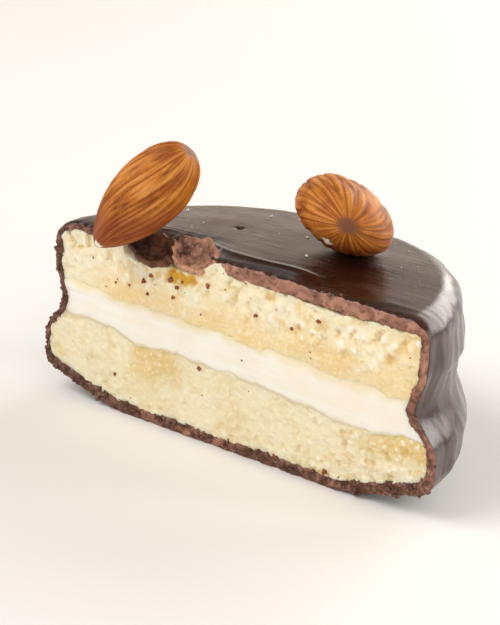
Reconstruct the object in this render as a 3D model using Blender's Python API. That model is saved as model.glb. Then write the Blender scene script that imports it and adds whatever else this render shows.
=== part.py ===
"""Half of a chocolate-coated alfajor, cut straight through, with two almonds on it.

Two crumbly biscuits hold a slab of cream between them, and a coat of dark chocolate
runs all round except over the cut. The cut crushed the coat in one place, where two
flakes of it lie in the gap. Metres, +Z up, standing on the coat's flat underside.
+X runs along the cut, whose face looks towards -Y. The origin is at the middle of the
base, half way between the cut and the back.
"""

import math

import bmesh
import bpy
from mathutils import Matrix, Vector

# The round cookie that was cut.
HEIGHT = 0.0282
UPPER_RADIUS = 0.0323
WAIST_RADIUS = 0.0309
LOWER_RADIUS = 0.0346
UPPER_BULGE_FOOT = 0.0205
WAIST_HEIGHT = 0.0152
LOWER_BULGE_TOP = 0.0092
SHOULDER_RADIUS = 0.0036
BASE_CORNER_WIDTH = 0.0036
BASE_CORNER_HEIGHT = 0.0034
BASE_FLAT_RADIUS = 0.0190
BASE_RISE = 0.0030
CROWN_DOME = 0.0005
BACK_SLIMMING = 0.040

# The cut passes through the round cookie's axis, half its depth in front of the origin.
CUT_Y = -0.0171

# The coat's thickness, and the room between neighbouring pieces.
COAT_TOP = 0.0017
COAT_SIDE = 0.0013
COAT_BASE = 0.0019
GAP = 0.0003

# The glaze ran down the wall and set as a skirt with a scalloped hem.
SKIRT_THICKNESS = 0.0007
SKIRT_LIP = 0.0016
HEM_HEIGHT = 0.0182
HEM_DRIP = 0.0024
WAIST_FILL = 0.0018
WAIST_FILL_REACH = 0.0034

# The cream lies between these heights on the axis, and slopes down towards +X.
CREAM_LOW = 0.0114
CREAM_HIGH = 0.0175
LAYER_SLOPE = -0.034

# The gap that the knife broke in the coat's front edge.
BREAK_LEFT = -0.0206
BREAK_RIGHT = -0.0012
BREAK_DEPTH = 0.0046
BREAK_FLOOR = 0.0239

ARC_STEPS = 44
WALL_STEPS = 15


def material(name, colour, roughness):
    """A plain Principled material: linear colour and roughness."""
    made = bpy.data.materials.new(name)
    made.use_nodes = True
    shader = made.node_tree.nodes["Principled BSDF"]
    shader.inputs["Base Color"].default_value = (*colour, 1.0)
    shader.inputs["Roughness"].default_value = roughness
    shader.inputs["Metallic"].default_value = 0.0
    return made


def add_object(name, mesh, finish, smooth_angle=math.radians(40)):
    """A named object in the scene, shaded smooth except across sharp edges."""
    mesh.materials.append(finish)
    mesh.shade_smooth()
    mesh.set_sharp_from_angle(angle=smooth_angle)
    made = bpy.data.objects.new(name, mesh)
    bpy.context.scene.collection.objects.link(made)
    return made


def blend(start, end, share):
    """Eases from start to end as share goes from 0 to 1."""
    share = min(1.0, max(0.0, share))
    return start + (end - start) * share * share * (3 - 2 * share)


def out_of_round(angle, height):
    """The share by which the coat stands out or in at this angle round the axis.

    The lower bulge also grows slimmer towards the back.
    """
    slimmer = BACK_SLIMMING * math.sin(angle) * blend(1, 0, (height - 0.007) / 0.008)
    return 1 + 0.009 * math.cos(2 * angle - 0.6) + 0.005 * math.cos(5 * angle + 0.8) - slimmer


def hem(angle):
    """The height of the skirt's scalloped hem."""
    return (
        HEM_HEIGHT
        + 0.5 * HEM_DRIP * math.sin(7 * angle + 0.9)
        + 0.35 * HEM_DRIP * math.sin(12 * angle + 2.4)
    )


def skirt(height, angle):
    """How far the skirt stands out from the wall. It dies away at the cut."""
    over_hem = blend(0, 1, (height - hem(angle)) / SKIRT_LIP)
    under_shoulder = blend(1, 0, (height - HEIGHT + 2 * SHOULDER_RADIUS) / SHOULDER_RADIUS)
    fill = WAIST_FILL * math.exp(-(((height - WAIST_HEIGHT) / WAIST_FILL_REACH) ** 2))
    away_from_cut = max(0.0, math.sin(angle)) ** 0.5
    return (SKIRT_THICKNESS * over_hem * under_shoulder + fill) * away_from_cut


def underside(radius):
    """The height of the coat's underside: flat in the middle, rising to the foot."""
    foot = LOWER_RADIUS - BASE_CORNER_WIDTH
    outward = max(0.0, radius - BASE_FLAT_RADIUS) / (foot - BASE_FLAT_RADIUS)
    return BASE_RISE * outward**1.35


def foot_of(inset, lift):
    """(radius, height) where the wall's rounded corner ends on the underside."""
    radius = LOWER_RADIUS - inset - (BASE_CORNER_WIDTH - 0.5 * inset)
    return radius, lift + underside(radius)


def wall_radius(height, inset, top, lift):
    """The radius of the round form at a height, set in by inset at the side.

    The form runs from lift above the underside to top. It has a rounded shoulder, a
    bulge at each biscuit, a waist at the cream and an elliptical corner at the foot.
    """
    base = foot_of(inset, lift)[1]
    upper = UPPER_RADIUS - inset
    waist = WAIST_RADIUS - inset
    lower = LOWER_RADIUS - inset
    shoulder = SHOULDER_RADIUS - inset
    if height > top - shoulder:
        climb = min(1.0, (height - top + shoulder) / shoulder)
        return upper - shoulder + shoulder * math.sqrt(1 - climb * climb)
    corner_high = BASE_CORNER_HEIGHT - 0.5 * inset
    corner_wide = BASE_CORNER_WIDTH - 0.5 * inset
    if height < base + corner_high:
        drop = min(1.0, (base + corner_high - height) / corner_high)
        return lower - corner_wide + corner_wide * math.sqrt(1 - drop * drop)
    if height > WAIST_HEIGHT:
        return blend(waist, upper, (height - WAIST_HEIGHT) / (UPPER_BULGE_FOOT - WAIST_HEIGHT))
    return blend(waist, lower, (WAIST_HEIGHT - height) / (WAIST_HEIGHT - LOWER_BULGE_TOP))


def foot_profile(inset, top, lift):
    """(radius, height) round the foot's corner and in along the underside."""
    foot, base = foot_of(inset, lift)
    corner_high = BASE_CORNER_HEIGHT - 0.5 * inset
    points = []
    for step in range(1, 5):
        height = base + corner_high * (1 - math.sin(math.radians(22.5 * step)))
        points.append((wall_radius(height, inset, top, lift), height))
    for step in range(1, 5):
        radius = foot + (BASE_FLAT_RADIUS - foot) * step / 4
        points.append((radius, lift + underside(radius)))
    return points


def round_profile(inset, top, lift):
    """(radius, height) from near the crown, over the shoulder, down the wall, to the base."""
    shoulder = SHOULDER_RADIUS - inset
    crown_edge = UPPER_RADIUS - inset - shoulder
    points = [(0.5 * crown_edge, top)]
    points += [(crown_edge, top)]
    for step in range(1, 5):
        turn = math.radians(90 - 22.5 * step)
        height = top - shoulder + shoulder * math.sin(turn)
        points.append((crown_edge + shoulder * math.cos(turn), height))
    wall_top = top - shoulder
    wall_foot = foot_of(inset, lift)[1] + BASE_CORNER_HEIGHT - 0.5 * inset
    for step in range(1, WALL_STEPS + 1):
        height = wall_top + (wall_foot - wall_top) * step / WALL_STEPS
        points.append((wall_radius(height, inset, top, lift), height))
    return points + foot_profile(inset, top, lift)


def half_round(rings, forward=0.0):
    """A closed mesh of half rings about the cut's axis, each a function of the angle.

    Each ring gives (radius, height) for an angle from 0, at +X, to pi, at -X. The first
    and last rings are closed by flat caps. A positive forward carries the front face
    that far out of the cut, for a cutter.
    """
    bm = bmesh.new()
    rows = []
    for ring in rings:
        row = []
        for step in range(ARC_STEPS + 1):
            angle = math.pi * step / ARC_STEPS
            radius, height = ring(angle)
            across = radius * math.cos(angle)
            back = max(0.0, radius * math.sin(angle))
            row.append(bm.verts.new((across, CUT_Y + back, height)))
        if forward:
            right, left = (bm.verts.new((row[at].co.x, CUT_Y - forward, row[at].co.z)) for at in (0, -1))
            row = [right, *row, left]
        rows.append(row)
    wall = []
    for upper, lower in zip(rows, rows[1:]):
        for left in range(len(upper) - 1):
            corners = (upper[left], lower[left], lower[left + 1], upper[left + 1])
            wall.append(bm.faces.new(corners))
        bm.faces.new((upper[0], upper[-1], lower[-1], lower[0]))
    bm.faces.new(rows[0])
    bm.faces.new(list(reversed(rows[-1])))
    bmesh.ops.triangulate(bm, faces=wall)
    bmesh.ops.recalc_face_normals(bm, faces=bm.faces)
    mesh = bpy.data.meshes.new("half_round")
    bm.to_mesh(mesh)
    bm.free()
    return mesh


def cut_away(target, cutter):
    """Cuts the cutter's shape out of the target with an exact Boolean."""
    modifier = target.modifiers.new("cut", "BOOLEAN")
    modifier.operation = "DIFFERENCE"
    modifier.solver = "EXACT"
    modifier.object = cutter


def as_cutter(name, mesh):
    """A mesh that only cuts: drawn as wire, and left out of the part."""
    made = bpy.data.objects.new(name, mesh)
    bpy.context.scene.collection.objects.link(made)
    made.display_type = "WIRE"
    made.hide_render = True
    return made


def coat_ring(radius, height):
    """One ring of the coat's outside: the round form, out of round, with its skirt."""

    def ring(angle):
        outward = (radius + skirt(height, angle)) * out_of_round(angle, height)
        return outward, height

    return ring


def coat_outside():
    """The coat's outside as a solid: domed crown, skirted wall, base rising to the foot."""
    crown_edge = UPPER_RADIUS - SHOULDER_RADIUS
    rings = []
    for radius, height in round_profile(0.0, HEIGHT, 0.0):
        if height >= HEIGHT - SHOULDER_RADIUS:
            height -= CROWN_DOME * min(1.0, (radius / crown_edge) ** 2)
        rings.append(coat_ring(radius, height))
    return half_round(rings)


def cavity_ring(radius, height):
    """One ring of the space inside the coat."""
    return lambda angle: (radius * out_of_round(angle, height), height)


def coat_inside(forward):
    """The space inside the coat, open at the cut."""
    top = HEIGHT - COAT_TOP
    rings = [cavity_ring(r, z) for r, z in round_profile(COAT_SIDE, top, COAT_BASE)]
    return half_round(rings, forward)


def break_cutter():
    """The wedge that the knife crushed out of the coat's front edge.

    Seen from the front it is a shallow notch with a sloping floor on each side, and it
    runs back to a point.
    """
    middle = 0.5 * (BREAK_LEFT + BREAK_RIGHT)
    outline = (
        (BREAK_LEFT, HEIGHT + 0.002),
        (BREAK_LEFT + 0.0004, HEIGHT - 0.0024),
        (middle - 0.0030, BREAK_FLOOR + 0.0004),
        (middle + 0.0020, BREAK_FLOOR),
        (BREAK_RIGHT - 0.0022, BREAK_FLOOR + 0.0006),
        (BREAK_RIGHT, HEIGHT - 0.0006),
        (BREAK_RIGHT, HEIGHT + 0.002),
    )
    front = CUT_Y - 0.002
    back = CUT_Y + BREAK_DEPTH
    bm = bmesh.new()
    near = [bm.verts.new((x, front, z)) for x, z in outline]
    far = []
    for x, z in outline:
        lift = max(z, HEIGHT - 0.0024 + 0.4 * (z - BREAK_FLOOR))
        far.append(bm.verts.new((middle + 0.8 * (x - middle), back, lift)))
    bm.faces.new(near)
    bm.faces.new(list(reversed(far)))
    for at in range(len(outline)):
        after = (at + 1) % len(outline)
        bm.faces.new((near[at], far[at], far[after], near[after]))
    bmesh.ops.triangulate(bm, faces=bm.faces)
    bmesh.ops.recalc_face_normals(bm, faces=bm.faces)
    mesh = bpy.data.meshes.new("break")
    bm.to_mesh(mesh)
    bm.free()
    return as_cutter("cutter_break", mesh)


def layer(name, low, high, finish, slopes=(True, True)):
    """A layer of the filling: it fills the coat's inside between two heights.

    slopes says whether its underside and its top follow the cream's slope. A layer with
    a level underside goes down to the coat's floor, round the corner of the foot.
    """
    top = HEIGHT - COAT_TOP - GAP
    lift = COAT_BASE + GAP
    inset = COAT_SIDE + GAP
    steps = max(3, round((high - low) / 0.0013))

    def ring(share):
        def at(angle):
            height = level = low + (high - low) * share
            slope = LAYER_SLOPE * (slopes[0] * (1 - share) + slopes[1] * share)
            for _ in range(4):
                radius = wall_radius(height, inset, top, lift) * out_of_round(angle, height)
                height = level + slope * radius * math.cos(angle)
            return radius, height

        return at

    shares = [step / steps for step in range(steps + 1)]
    if not slopes[1]:
        shares = [s for s in shares if s < 0.75] + [0.78, 0.88, 0.96, 1.0]
    rings = [ring(s) for s in reversed(shares)]
    if not slopes[0]:
        rings += [cavity_ring(r, z) for r, z in foot_profile(inset, top, lift)]
    return add_object(name, half_round(rings), finish)


def almond_outline(share, pointed, blunt):
    """Half-width of an almond as a share of its most, from its tip (0) to its end (1)."""
    widest = pointed / (pointed + blunt)
    most = widest**pointed * (1 - widest) ** blunt
    return share**pointed * (1 - share) ** blunt / most


def almond(name, size, centre, towards, roll, finish):
    """An almond kernel: pointed at one end and blunt at the other, wider than thick.

    size is its length, width and thickness. Its blunt end points towards a direction,
    and roll turns it about its own length, from lying flat.
    """
    length, width, thickness = size
    around = 20
    along = 15
    bm = bmesh.new()
    tip = bm.verts.new((-length / 2, 0, 0))
    end = bm.verts.new((length / 2, 0, 0))
    rows = []
    for step in range(1, along):
        share = 0.5 - 0.5 * math.cos(math.pi * step / along)
        half_width = 0.5 * width * almond_outline(share, 0.72, 0.46)
        half_thick = 0.5 * thickness * almond_outline(share, 0.62, 0.44)
        row = []
        for turn in range(around):
            angle = 2 * math.pi * turn / around
            at = ((share - 0.5) * length, half_width * math.cos(angle), half_thick * math.sin(angle))
            row.append(bm.verts.new(at))
        rows.append(row)
    for turn in range(around):
        after = (turn + 1) % around
        bm.faces.new((tip, rows[0][after], rows[0][turn]))
        bm.faces.new((end, rows[-1][turn], rows[-1][after]))
        for near, far in zip(rows, rows[1:]):
            bm.faces.new((near[turn], near[after], far[after], far[turn]))
    bmesh.ops.recalc_face_normals(bm, faces=bm.faces)
    mesh = bpy.data.meshes.new(name)
    bm.to_mesh(mesh)
    bm.free()
    made = add_object(name, mesh, finish, math.radians(80))
    forward = Vector(towards).normalized()
    side = Vector((0, 0, 1)).cross(forward).normalized()
    up = forward.cross(side)
    axes = Matrix((forward, side, up)).transposed()
    made.matrix_world = Matrix.Translation(centre) @ axes.to_4x4() @ Matrix.Rotation(roll, 4, "X")
    return made


def flake(name, size, curl, centre, lean, finish):
    """A broken flake of the coat: a thin plate with an uneven outline, curled along X."""
    length, depth, thickness = size
    corners = 9
    bm = bmesh.new()
    sides = []
    for face in (-0.5, 0.5):
        ring = []
        for corner in range(corners):
            angle = 2 * math.pi * corner / corners
            reach = 1 + 0.16 * math.sin(3 * angle + 1) + 0.08 * math.sin(5 * angle)
            x = 0.5 * length * reach * math.cos(angle)
            y = 0.5 * depth * reach * math.sin(angle)
            z = face * thickness + curl * (2 * x / length) ** 2
            ring.append(bm.verts.new((x, y, z)))
        middle = bm.verts.new((0, 0, face * thickness))
        for corner in range(corners):
            bm.faces.new((middle, ring[corner], ring[(corner + 1) % corners]))
        sides.append(ring)
    for corner in range(corners):
        after = (corner + 1) % corners
        bm.faces.new((sides[0][corner], sides[0][after], sides[1][after], sides[1][corner]))
    bmesh.ops.recalc_face_normals(bm, faces=bm.faces)
    mesh = bpy.data.meshes.new(name)
    bm.to_mesh(mesh)
    bm.free()
    made = add_object(name, mesh, finish, math.radians(30))
    made.location = centre
    made.rotation_euler = lean
    return made


def build():
    """Clears the scene and builds every piece of the half cookie."""
    for old in list(bpy.data.objects):
        bpy.data.objects.remove(old)
    chocolate = material("dark_chocolate", (0.045, 0.018, 0.010), 0.25)
    broken = material("broken_chocolate", (0.150, 0.070, 0.045), 0.70)
    biscuit = material("biscuit_crumb", (0.800, 0.640, 0.360), 0.85)
    cream = material("cream", (0.900, 0.800, 0.660), 0.55)
    skin = material("almond_skin", (0.420, 0.150, 0.030), 0.55)

    coat = add_object("chocolate_coat", coat_outside(), chocolate)
    cavity = as_cutter("cutter_cavity", coat_inside(forward=0.002))
    gap_in_coat = break_cutter()
    cut_away(coat, cavity)
    cut_away(coat, gap_in_coat)

    foot_inset = COAT_SIDE + GAP
    floor = foot_of(foot_inset, COAT_BASE + GAP)[1] + BASE_CORNER_HEIGHT - 0.5 * foot_inset
    ceiling = HEIGHT - COAT_TOP - GAP
    layer("lower_biscuit", floor, CREAM_LOW - 0.5 * GAP, biscuit, (False, True))
    layer("cream_filling", CREAM_LOW + 0.5 * GAP, CREAM_HIGH - 0.5 * GAP, cream)
    upper = layer("upper_biscuit", CREAM_HIGH + 0.5 * GAP, ceiling, biscuit, (True, False))
    cut_away(upper, gap_in_coat)

    almond(
        "almond_leaning",
        size=(0.0209, 0.0101, 0.0094),
        centre=(-0.0149, CUT_Y - 0.0013, 0.0343),
        towards=(0.612, 0.245, 0.752),
        roll=math.radians(90),
        finish=skin,
    )
    almond(
        "almond_lying",
        size=(0.0220, 0.0152, 0.0098),
        centre=(0.0079, CUT_Y + 0.0156, 0.0338),
        towards=(0.60, -0.79, 0.13),
        roll=math.radians(-28),
        finish=skin,
    )
    flake(
        "coat_flake_dark",
        size=(0.0066, 0.0042, 0.0010),
        curl=0.0003,
        centre=(-0.0154, CUT_Y + 0.0006, 0.0270),
        lean=(math.radians(34), math.radians(4), math.radians(-6)),
        finish=chocolate,
    )
    flake(
        "coat_flake_pale",
        size=(0.0060, 0.0042, 0.0010),
        curl=0.0004,
        centre=(-0.0081, CUT_Y + 0.0008, 0.0270),
        lean=(math.radians(48), math.radians(6), math.radians(8)),
        finish=broken,
    )


build()
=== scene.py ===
"""Half of a chocolate-coated alfajor with two almonds on it, set on a pale floor.

The sections follow the making: lower biscuit, cream, upper biscuit, coat, the flakes
that the knife broke off, almonds, specks and crumbs, then floor, lights and camera.
"""

import math

import bmesh
import bpy
from mathutils import Matrix, Vector, noise


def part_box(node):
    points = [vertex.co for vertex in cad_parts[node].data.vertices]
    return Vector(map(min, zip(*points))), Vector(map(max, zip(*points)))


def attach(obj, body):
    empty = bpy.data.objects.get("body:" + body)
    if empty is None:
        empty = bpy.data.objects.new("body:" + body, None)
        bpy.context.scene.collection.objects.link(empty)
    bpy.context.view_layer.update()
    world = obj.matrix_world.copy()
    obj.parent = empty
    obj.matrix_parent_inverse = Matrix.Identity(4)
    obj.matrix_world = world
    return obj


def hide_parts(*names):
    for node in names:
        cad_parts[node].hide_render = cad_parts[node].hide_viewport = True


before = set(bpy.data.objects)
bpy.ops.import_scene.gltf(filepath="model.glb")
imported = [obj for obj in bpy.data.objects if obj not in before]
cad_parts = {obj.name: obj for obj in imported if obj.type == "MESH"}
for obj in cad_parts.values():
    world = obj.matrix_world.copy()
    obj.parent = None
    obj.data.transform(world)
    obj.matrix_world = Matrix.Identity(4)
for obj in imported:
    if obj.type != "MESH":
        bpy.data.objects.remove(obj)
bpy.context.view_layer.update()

# Lower biscuit. A pressed, lightly baked disc of butter and corn-starch dough, pale and
# sandy, and sawn through with the rest. It fills the coat's lower bulge.

MM = 0.001
CUT_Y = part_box("chocolate_coat")[0].y
CROWN_Z = 28.2 * MM
COAT_TOP, COAT_SIDE, COAT_BASE = 1.7 * MM, 1.3 * MM, 1.9 * MM
LOWER_RADIUS, UPPER_RADIUS, WAIST_RADIUS = 34.6 * MM, 32.3 * MM, 30.9 * MM
WAIST_Z, UPPER_BULGE_FOOT, LOWER_BULGE_TOP = 15.2 * MM, 20.5 * MM, 9.2 * MM
BACK_SLIMMING = 0.040
SHOULDER = 3.6 * MM
CORNER_WIDE, CORNER_HIGH = 3.6 * MM, 3.4 * MM
BASE_FLAT, BASE_RISE = 19.0 * MM, 3.0 * MM
CREAM_LOW, CREAM_HIGH, LAYER_SLOPE = 11.5 * MM, 17.5 * MM, -0.034


def ease(start, end, value):
    """Goes smoothly from 0 to 1 as the value goes from start to end."""
    share = min(1.0, max(0.0, (value - start) / (end - start)))
    return share * share * (3 - 2 * share)


def out_of_round(angle, z):
    """The share by which the cookie stands out at this angle, slimmer low down at the back."""
    slimmer = BACK_SLIMMING * math.sin(angle) * ease(15 * MM, 7 * MM, z)
    return 1 + 0.009 * math.cos(2 * angle - 0.6) + 0.005 * math.cos(5 * angle + 0.8) - slimmer


def underside(radius):
    """The height of the coat's underside, flat in the middle and rising to the foot."""
    reach = LOWER_RADIUS - CORNER_WIDE - BASE_FLAT
    return BASE_RISE * (max(0.0, radius - BASE_FLAT) / reach) ** 1.35


def foot_of(inset, lift):
    """(radius, height) where the wall's rounded corner ends, for a form set in by inset."""
    radius = LOWER_RADIUS - inset - (CORNER_WIDE - 0.5 * inset)
    return radius, lift + underside(radius)


def wall_radius(z, inset, top, lift):
    """The cookie's radius at a height, for a form set in by inset and lifted by lift."""
    base = foot_of(inset, lift)[1]
    upper, waist, lower = UPPER_RADIUS - inset, WAIST_RADIUS - inset, LOWER_RADIUS - inset
    shoulder = SHOULDER - inset
    high, wide = CORNER_HIGH - 0.5 * inset, CORNER_WIDE - 0.5 * inset
    if z > top - shoulder:
        climb = min(1.0, (z - top + shoulder) / shoulder)
        return upper - shoulder + shoulder * math.sqrt(1 - climb * climb)
    if z < base + high:
        drop = min(1.0, (base + high - z) / high)
        return lower - wide + wide * math.sqrt(1 - drop * drop)
    if z > WAIST_Z:
        return waist + (upper - waist) * ease(WAIST_Z, UPPER_BULGE_FOOT, z)
    return waist + (lower - waist) * ease(WAIST_Z, LOWER_BULGE_TOP, z)


def inner_radius(z):
    """The radius of the space inside the coat."""
    return wall_radius(z, COAT_SIDE, CROWN_Z - COAT_TOP, COAT_BASE)


def rough(x, y, z, size, seed=0.0):
    """Smooth noise between about -1 and 1, whose lumps are about this size."""
    return noise.noise(Vector((x / size + seed, y / size - seed, z / size + 2 * seed)))


def linear(colour):
    """An sRGB hex colour as linear RGBA."""
    parts = [int(colour[at : at + 2], 16) / 255 for at in (1, 3, 5)]
    return (*(c / 12.92 if c <= 0.04045 else ((c + 0.055) / 1.055) ** 2.4 for c in parts), 1)


def add(tree, kind, settings=None, links=None):
    """Adds a node. settings are its properties; links are its sockets' values or sources."""
    made = tree.nodes.new(kind)
    for name, value in (settings or {}).items():
        setattr(made, name, value)
    for name, value in (links or {}).items():
        if isinstance(value, bpy.types.Node):
            value = next(socket for socket in value.outputs if socket.enabled)
        if isinstance(value, bpy.types.NodeSocket):
            tree.links.new(value, made.inputs[name])
        else:
            made.inputs[name].default_value = value
    return made


def finish_of(name, **own):
    """A material with one Principled shader. own sets the shader's own sockets."""
    made = bpy.data.materials.new(name)
    made.use_nodes = True
    shader = made.node_tree.nodes["Principled BSDF"]
    for socket, value in own.items():
        shader.inputs[socket.replace("_", " ")].default_value = value
    return made, made.node_tree


def end_finish(made, colour, relief, strength, height):
    """Ends a material: its colour, and a bump of this strength and height from a pattern."""
    tree = made.node_tree
    shader = tree.nodes["Principled BSDF"]
    bump = {"Strength": strength, "Distance": height, "Height": relief}
    bump = add(tree, "ShaderNodeBump", None, bump)
    tree.links.new(colour.outputs[2], shader.inputs["Base Color"])
    tree.links.new(bump.outputs[0], shader.inputs["Normal"])
    return made


def sized(name, mesh, *materials):
    """A new object with this mesh and these materials, shaded smooth, at the origin."""
    for material in materials:
        mesh.materials.append(material)
    mesh.shade_smooth()
    made = bpy.data.objects.new(name, mesh)
    bpy.context.scene.collection.objects.link(made)
    return made


def stands_for(piece, node=None):
    """Rides the piece on the one body and the CAD node it replaces."""
    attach(piece, "root")
    if node:
        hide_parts(node)


def new_tree(name, sizes):
    """A Geometry Nodes tree with named sizes and a Material as its inputs."""
    tree = bpy.data.node_groups.new(name, "GeometryNodeTree")
    tree.interface.new_socket(name="Geometry", in_out="INPUT", socket_type="NodeSocketGeometry")
    tree.interface.new_socket(name="Geometry", in_out="OUTPUT", socket_type="NodeSocketGeometry")
    for label, value in sizes.items():
        socket = tree.interface.new_socket(name=label, in_out="INPUT", socket_type="NodeSocketFloat")
        socket.default_value = value
    tree.interface.new_socket(name="Material", in_out="INPUT", socket_type="NodeSocketMaterial")
    return tree, add(tree, "NodeGroupInput").outputs


def end_tree(tree, geometry, material):
    """Ends a tree: its instances are made real, shaded smooth and given their material."""
    real = add(tree, "GeometryNodeRealizeInstances", None, {"Geometry": geometry})
    smooth = add(tree, "GeometryNodeSetShadeSmooth", None, {"Geometry": real})
    done = add(tree, "GeometryNodeSetMaterial", None, {"Geometry": smooth, "Material": material})
    add(tree, "NodeGroupOutput", None, {"Geometry": done})
    return tree


def grown(piece, tree, sizes):
    """Runs a Geometry Nodes tree on a piece and keeps the result as its plain mesh."""
    modifier = piece.modifiers.new("grow", "NODES")
    modifier.node_group = tree
    for item in tree.interface.items_tree:
        if item.in_out == "INPUT" and item.name in sizes:
            modifier[item.identifier] = sizes[item.name]
    graph = bpy.context.evaluated_depsgraph_get()
    mesh = bpy.data.meshes.new_from_object(piece.evaluated_get(graph))
    piece.modifiers.remove(modifier)
    old, piece.data = piece.data, mesh
    mesh.name = piece.name
    bpy.data.meshes.remove(old)
    return piece


def mesh_of(bm, name):
    """A closed form as a mesh, with its faces turned outwards."""
    bmesh.ops.recalc_face_normals(bm, faces=bm.faces)
    mesh = bpy.data.meshes.new(name)
    bm.to_mesh(mesh)
    bm.free()
    return mesh


def slab(low, high, rows, columns, marks, ledge=lambda x: 0.0):
    """A layer inside the coat: a fine grid over the cut, coarse round the back.

    low(x, radius) and high(x) give its edges' heights. marks(x, share) gives the open,
    toasted and golden shares of the cut face. ledge(x) is how far its broken top edge
    steps back.
    """
    arc = 56
    ledge_rows = 8
    bm = bmesh.new()
    labels = ("open", "toast", "gold")
    for label in ("cut", *labels):
        bm.verts.layers.float.new(label)
    cut, *layers = [bm.verts.layers.float[label] for label in ("cut", *labels)]
    rings = []
    for row in range(rows + ledge_rows + 1):
        share = min(1.0, row / rows)
        step = max(0, row - rows) / ledge_rows
        ring = []
        for column in range(columns + arc):
            if column <= columns:
                across = 1 - 2 * column / columns
                angle = 0.0 if across > 0 else math.pi
                back = 0.0
            else:
                angle = math.pi * (1 - (column - columns) / arc)
                across, back = math.cos(angle), math.sin(angle)
            x = across * 31 * MM
            reach = abs(x) if column <= columns else 31 * MM
            for _ in range(5):
                z = low(x, reach) + (high(x) - low(x, reach)) * share
                radius = (inner_radius(z) + 0.15 * MM) * out_of_round(angle, z)
                x = radius * across
                reach = abs(x) if column <= columns else radius
            y = radius * back
            if step and column <= columns:
                y = (0.3 * MM + ledge(x)) * step
                z += (26.6 * MM - z) * step * ease(0, 0.5 * MM, ledge(x)) + 0.1 * MM * step
            vert = bm.verts.new((x, CUT_Y + y, z))
            if column <= columns:
                vert[cut] = 1.0
                for layer, value in zip(layers, marks(x, share)):
                    vert[layer] = min(1.0, max(0.0, value))
            ring.append(vert)
        rings.append(ring)
    count = columns + arc
    for lower, upper in zip(rings, rings[1:]):
        for at in range(count):
            after = (at + 1) % count
            bm.faces.new((lower[at], upper[at], upper[after], lower[after]))
    for ring, centre_z in ((rings[0], low(0, 0)), (rings[-1], rings[-1][0].co.z)):
        middle = bm.verts.new((0, CUT_Y + 13 * MM, centre_z))
        for at in range(count):
            bm.faces.new((middle, ring[at], ring[(at + 1) % count]))
    return mesh_of(bm, "slab")


def crumb_tree():
    """The cut crumb's relief: broad lumps, round granules, fine sand and soft hollows."""
    sizes = {
        "Lump Size": 5 * MM,
        "Lump Height": 0.5 * MM,
        "Granule Size": 1.4 * MM,
        "Granule Height": 0.4 * MM,
        "Sand Size": 0.5 * MM,
        "Sand Height": 0.08 * MM,
        "Hollow Size": 2.2 * MM,
        "Hollow Depth": 0.6 * MM,
        "Torn Depth": 0.6 * MM,
    }
    tree, size = new_tree("cut_crumb", sizes)
    place = add(tree, "GeometryNodeInputPosition")
    read = {
        label: add(tree, "GeometryNodeInputNamedAttribute", {"data_type": "FLOAT"}, {"Name": label})
        for label in ("cut", "open", "gold")
    }
    per = {
        label: add(tree, "ShaderNodeMath", {"operation": "DIVIDE"}, {0: 1.0, 1: size[f"{label} Size"]})
        for label in ("Lump", "Granule", "Sand", "Hollow")
    }
    sway = add(tree, "ShaderNodeTexNoise", None, {"Vector": place, "Scale": per["Granule"], "Detail": 1.0})
    bend = {0: sway.outputs[1], 1: (1.0 * MM, 0.0, 1.0 * MM), 2: place}
    bent = add(tree, "ShaderNodeVectorMath", {"operation": "MULTIPLY_ADD"}, bend)
    round_grain = {"Vector": bent, "Scale": per["Granule"], "Smoothness": 0.45}
    granule = add(tree, "ShaderNodeTexVoronoi", {"feature": "SMOOTH_F1"}, round_grain)
    lump = add(tree, "ShaderNodeTexNoise", None, {"Vector": place, "Scale": per["Lump"], "Detail": 2.0})
    sand = add(tree, "ShaderNodeTexNoise", None, {"Vector": place, "Scale": per["Sand"], "Detail": 2.0})
    hollow = add(tree, "ShaderNodeTexNoise", None, {"Vector": bent, "Scale": per["Hollow"], "Detail": 2.0})
    crest = add(tree, "ShaderNodeMapRange", None, {"Value": granule, "From Min": 0.65, "From Max": 0.05})
    open_here = add(tree, "ShaderNodeMapRange", None, {"Value": read["open"], "To Min": 0.22})
    sunk = add(
        tree,
        "ShaderNodeMapRange",
        {"interpolation_type": "SMOOTHSTEP"},
        {"Value": hollow, "From Min": 0.56, "From Max": 0.72, "To Max": open_here},
    )
    lumpy = add(tree, "ShaderNodeMath", {"operation": "SUBTRACT"}, {0: lump, 1: 0.5})
    grainy = add(tree, "ShaderNodeMath", {"operation": "MULTIPLY"}, {0: crest, 1: open_here})
    sandy = add(tree, "ShaderNodeMath", {"operation": "SUBTRACT"}, {0: sand, 1: 0.5})
    rise = None
    for share, height, sign in (
        (lumpy, "Lump Height", 2.0),
        (grainy, "Granule Height", 1.0),
        (sandy, "Sand Height", 2.0),
        (sunk, "Hollow Depth", -1.0),
        (read["gold"], "Torn Depth", -1.0),
    ):
        tall = add(tree, "ShaderNodeMath", {"operation": "MULTIPLY"}, {0: size[height], 1: sign})
        here = {0: share, 1: tall, 2: rise or 0.0}
        rise = add(tree, "ShaderNodeMath", {"operation": "MULTIPLY_ADD"}, here)
    forward = add(tree, "ShaderNodeVectorMath", {"operation": "SCALE"}, {0: (0, -1, 0), "Scale": rise})
    moved = {"Geometry": size["Geometry"], "Selection": read["cut"], "Offset": forward}
    moved = add(tree, "GeometryNodeSetPosition", None, moved)
    # The hollows and granule crests are kept for the finish, which paints shade into the one and a highlight
    # onto the other.
    for label, value in (("hollow", sunk), ("crest", crest)):
        kept = {"Geometry": moved, "Name": label, "Value": value}
        moved = add(tree, "GeometryNodeStoreNamedAttribute", {"data_type": "FLOAT", "domain": "POINT"}, kept)
    return end_tree(tree, moved, size["Material"])


COLOUR = {"data_type": "RGBA"}


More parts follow.
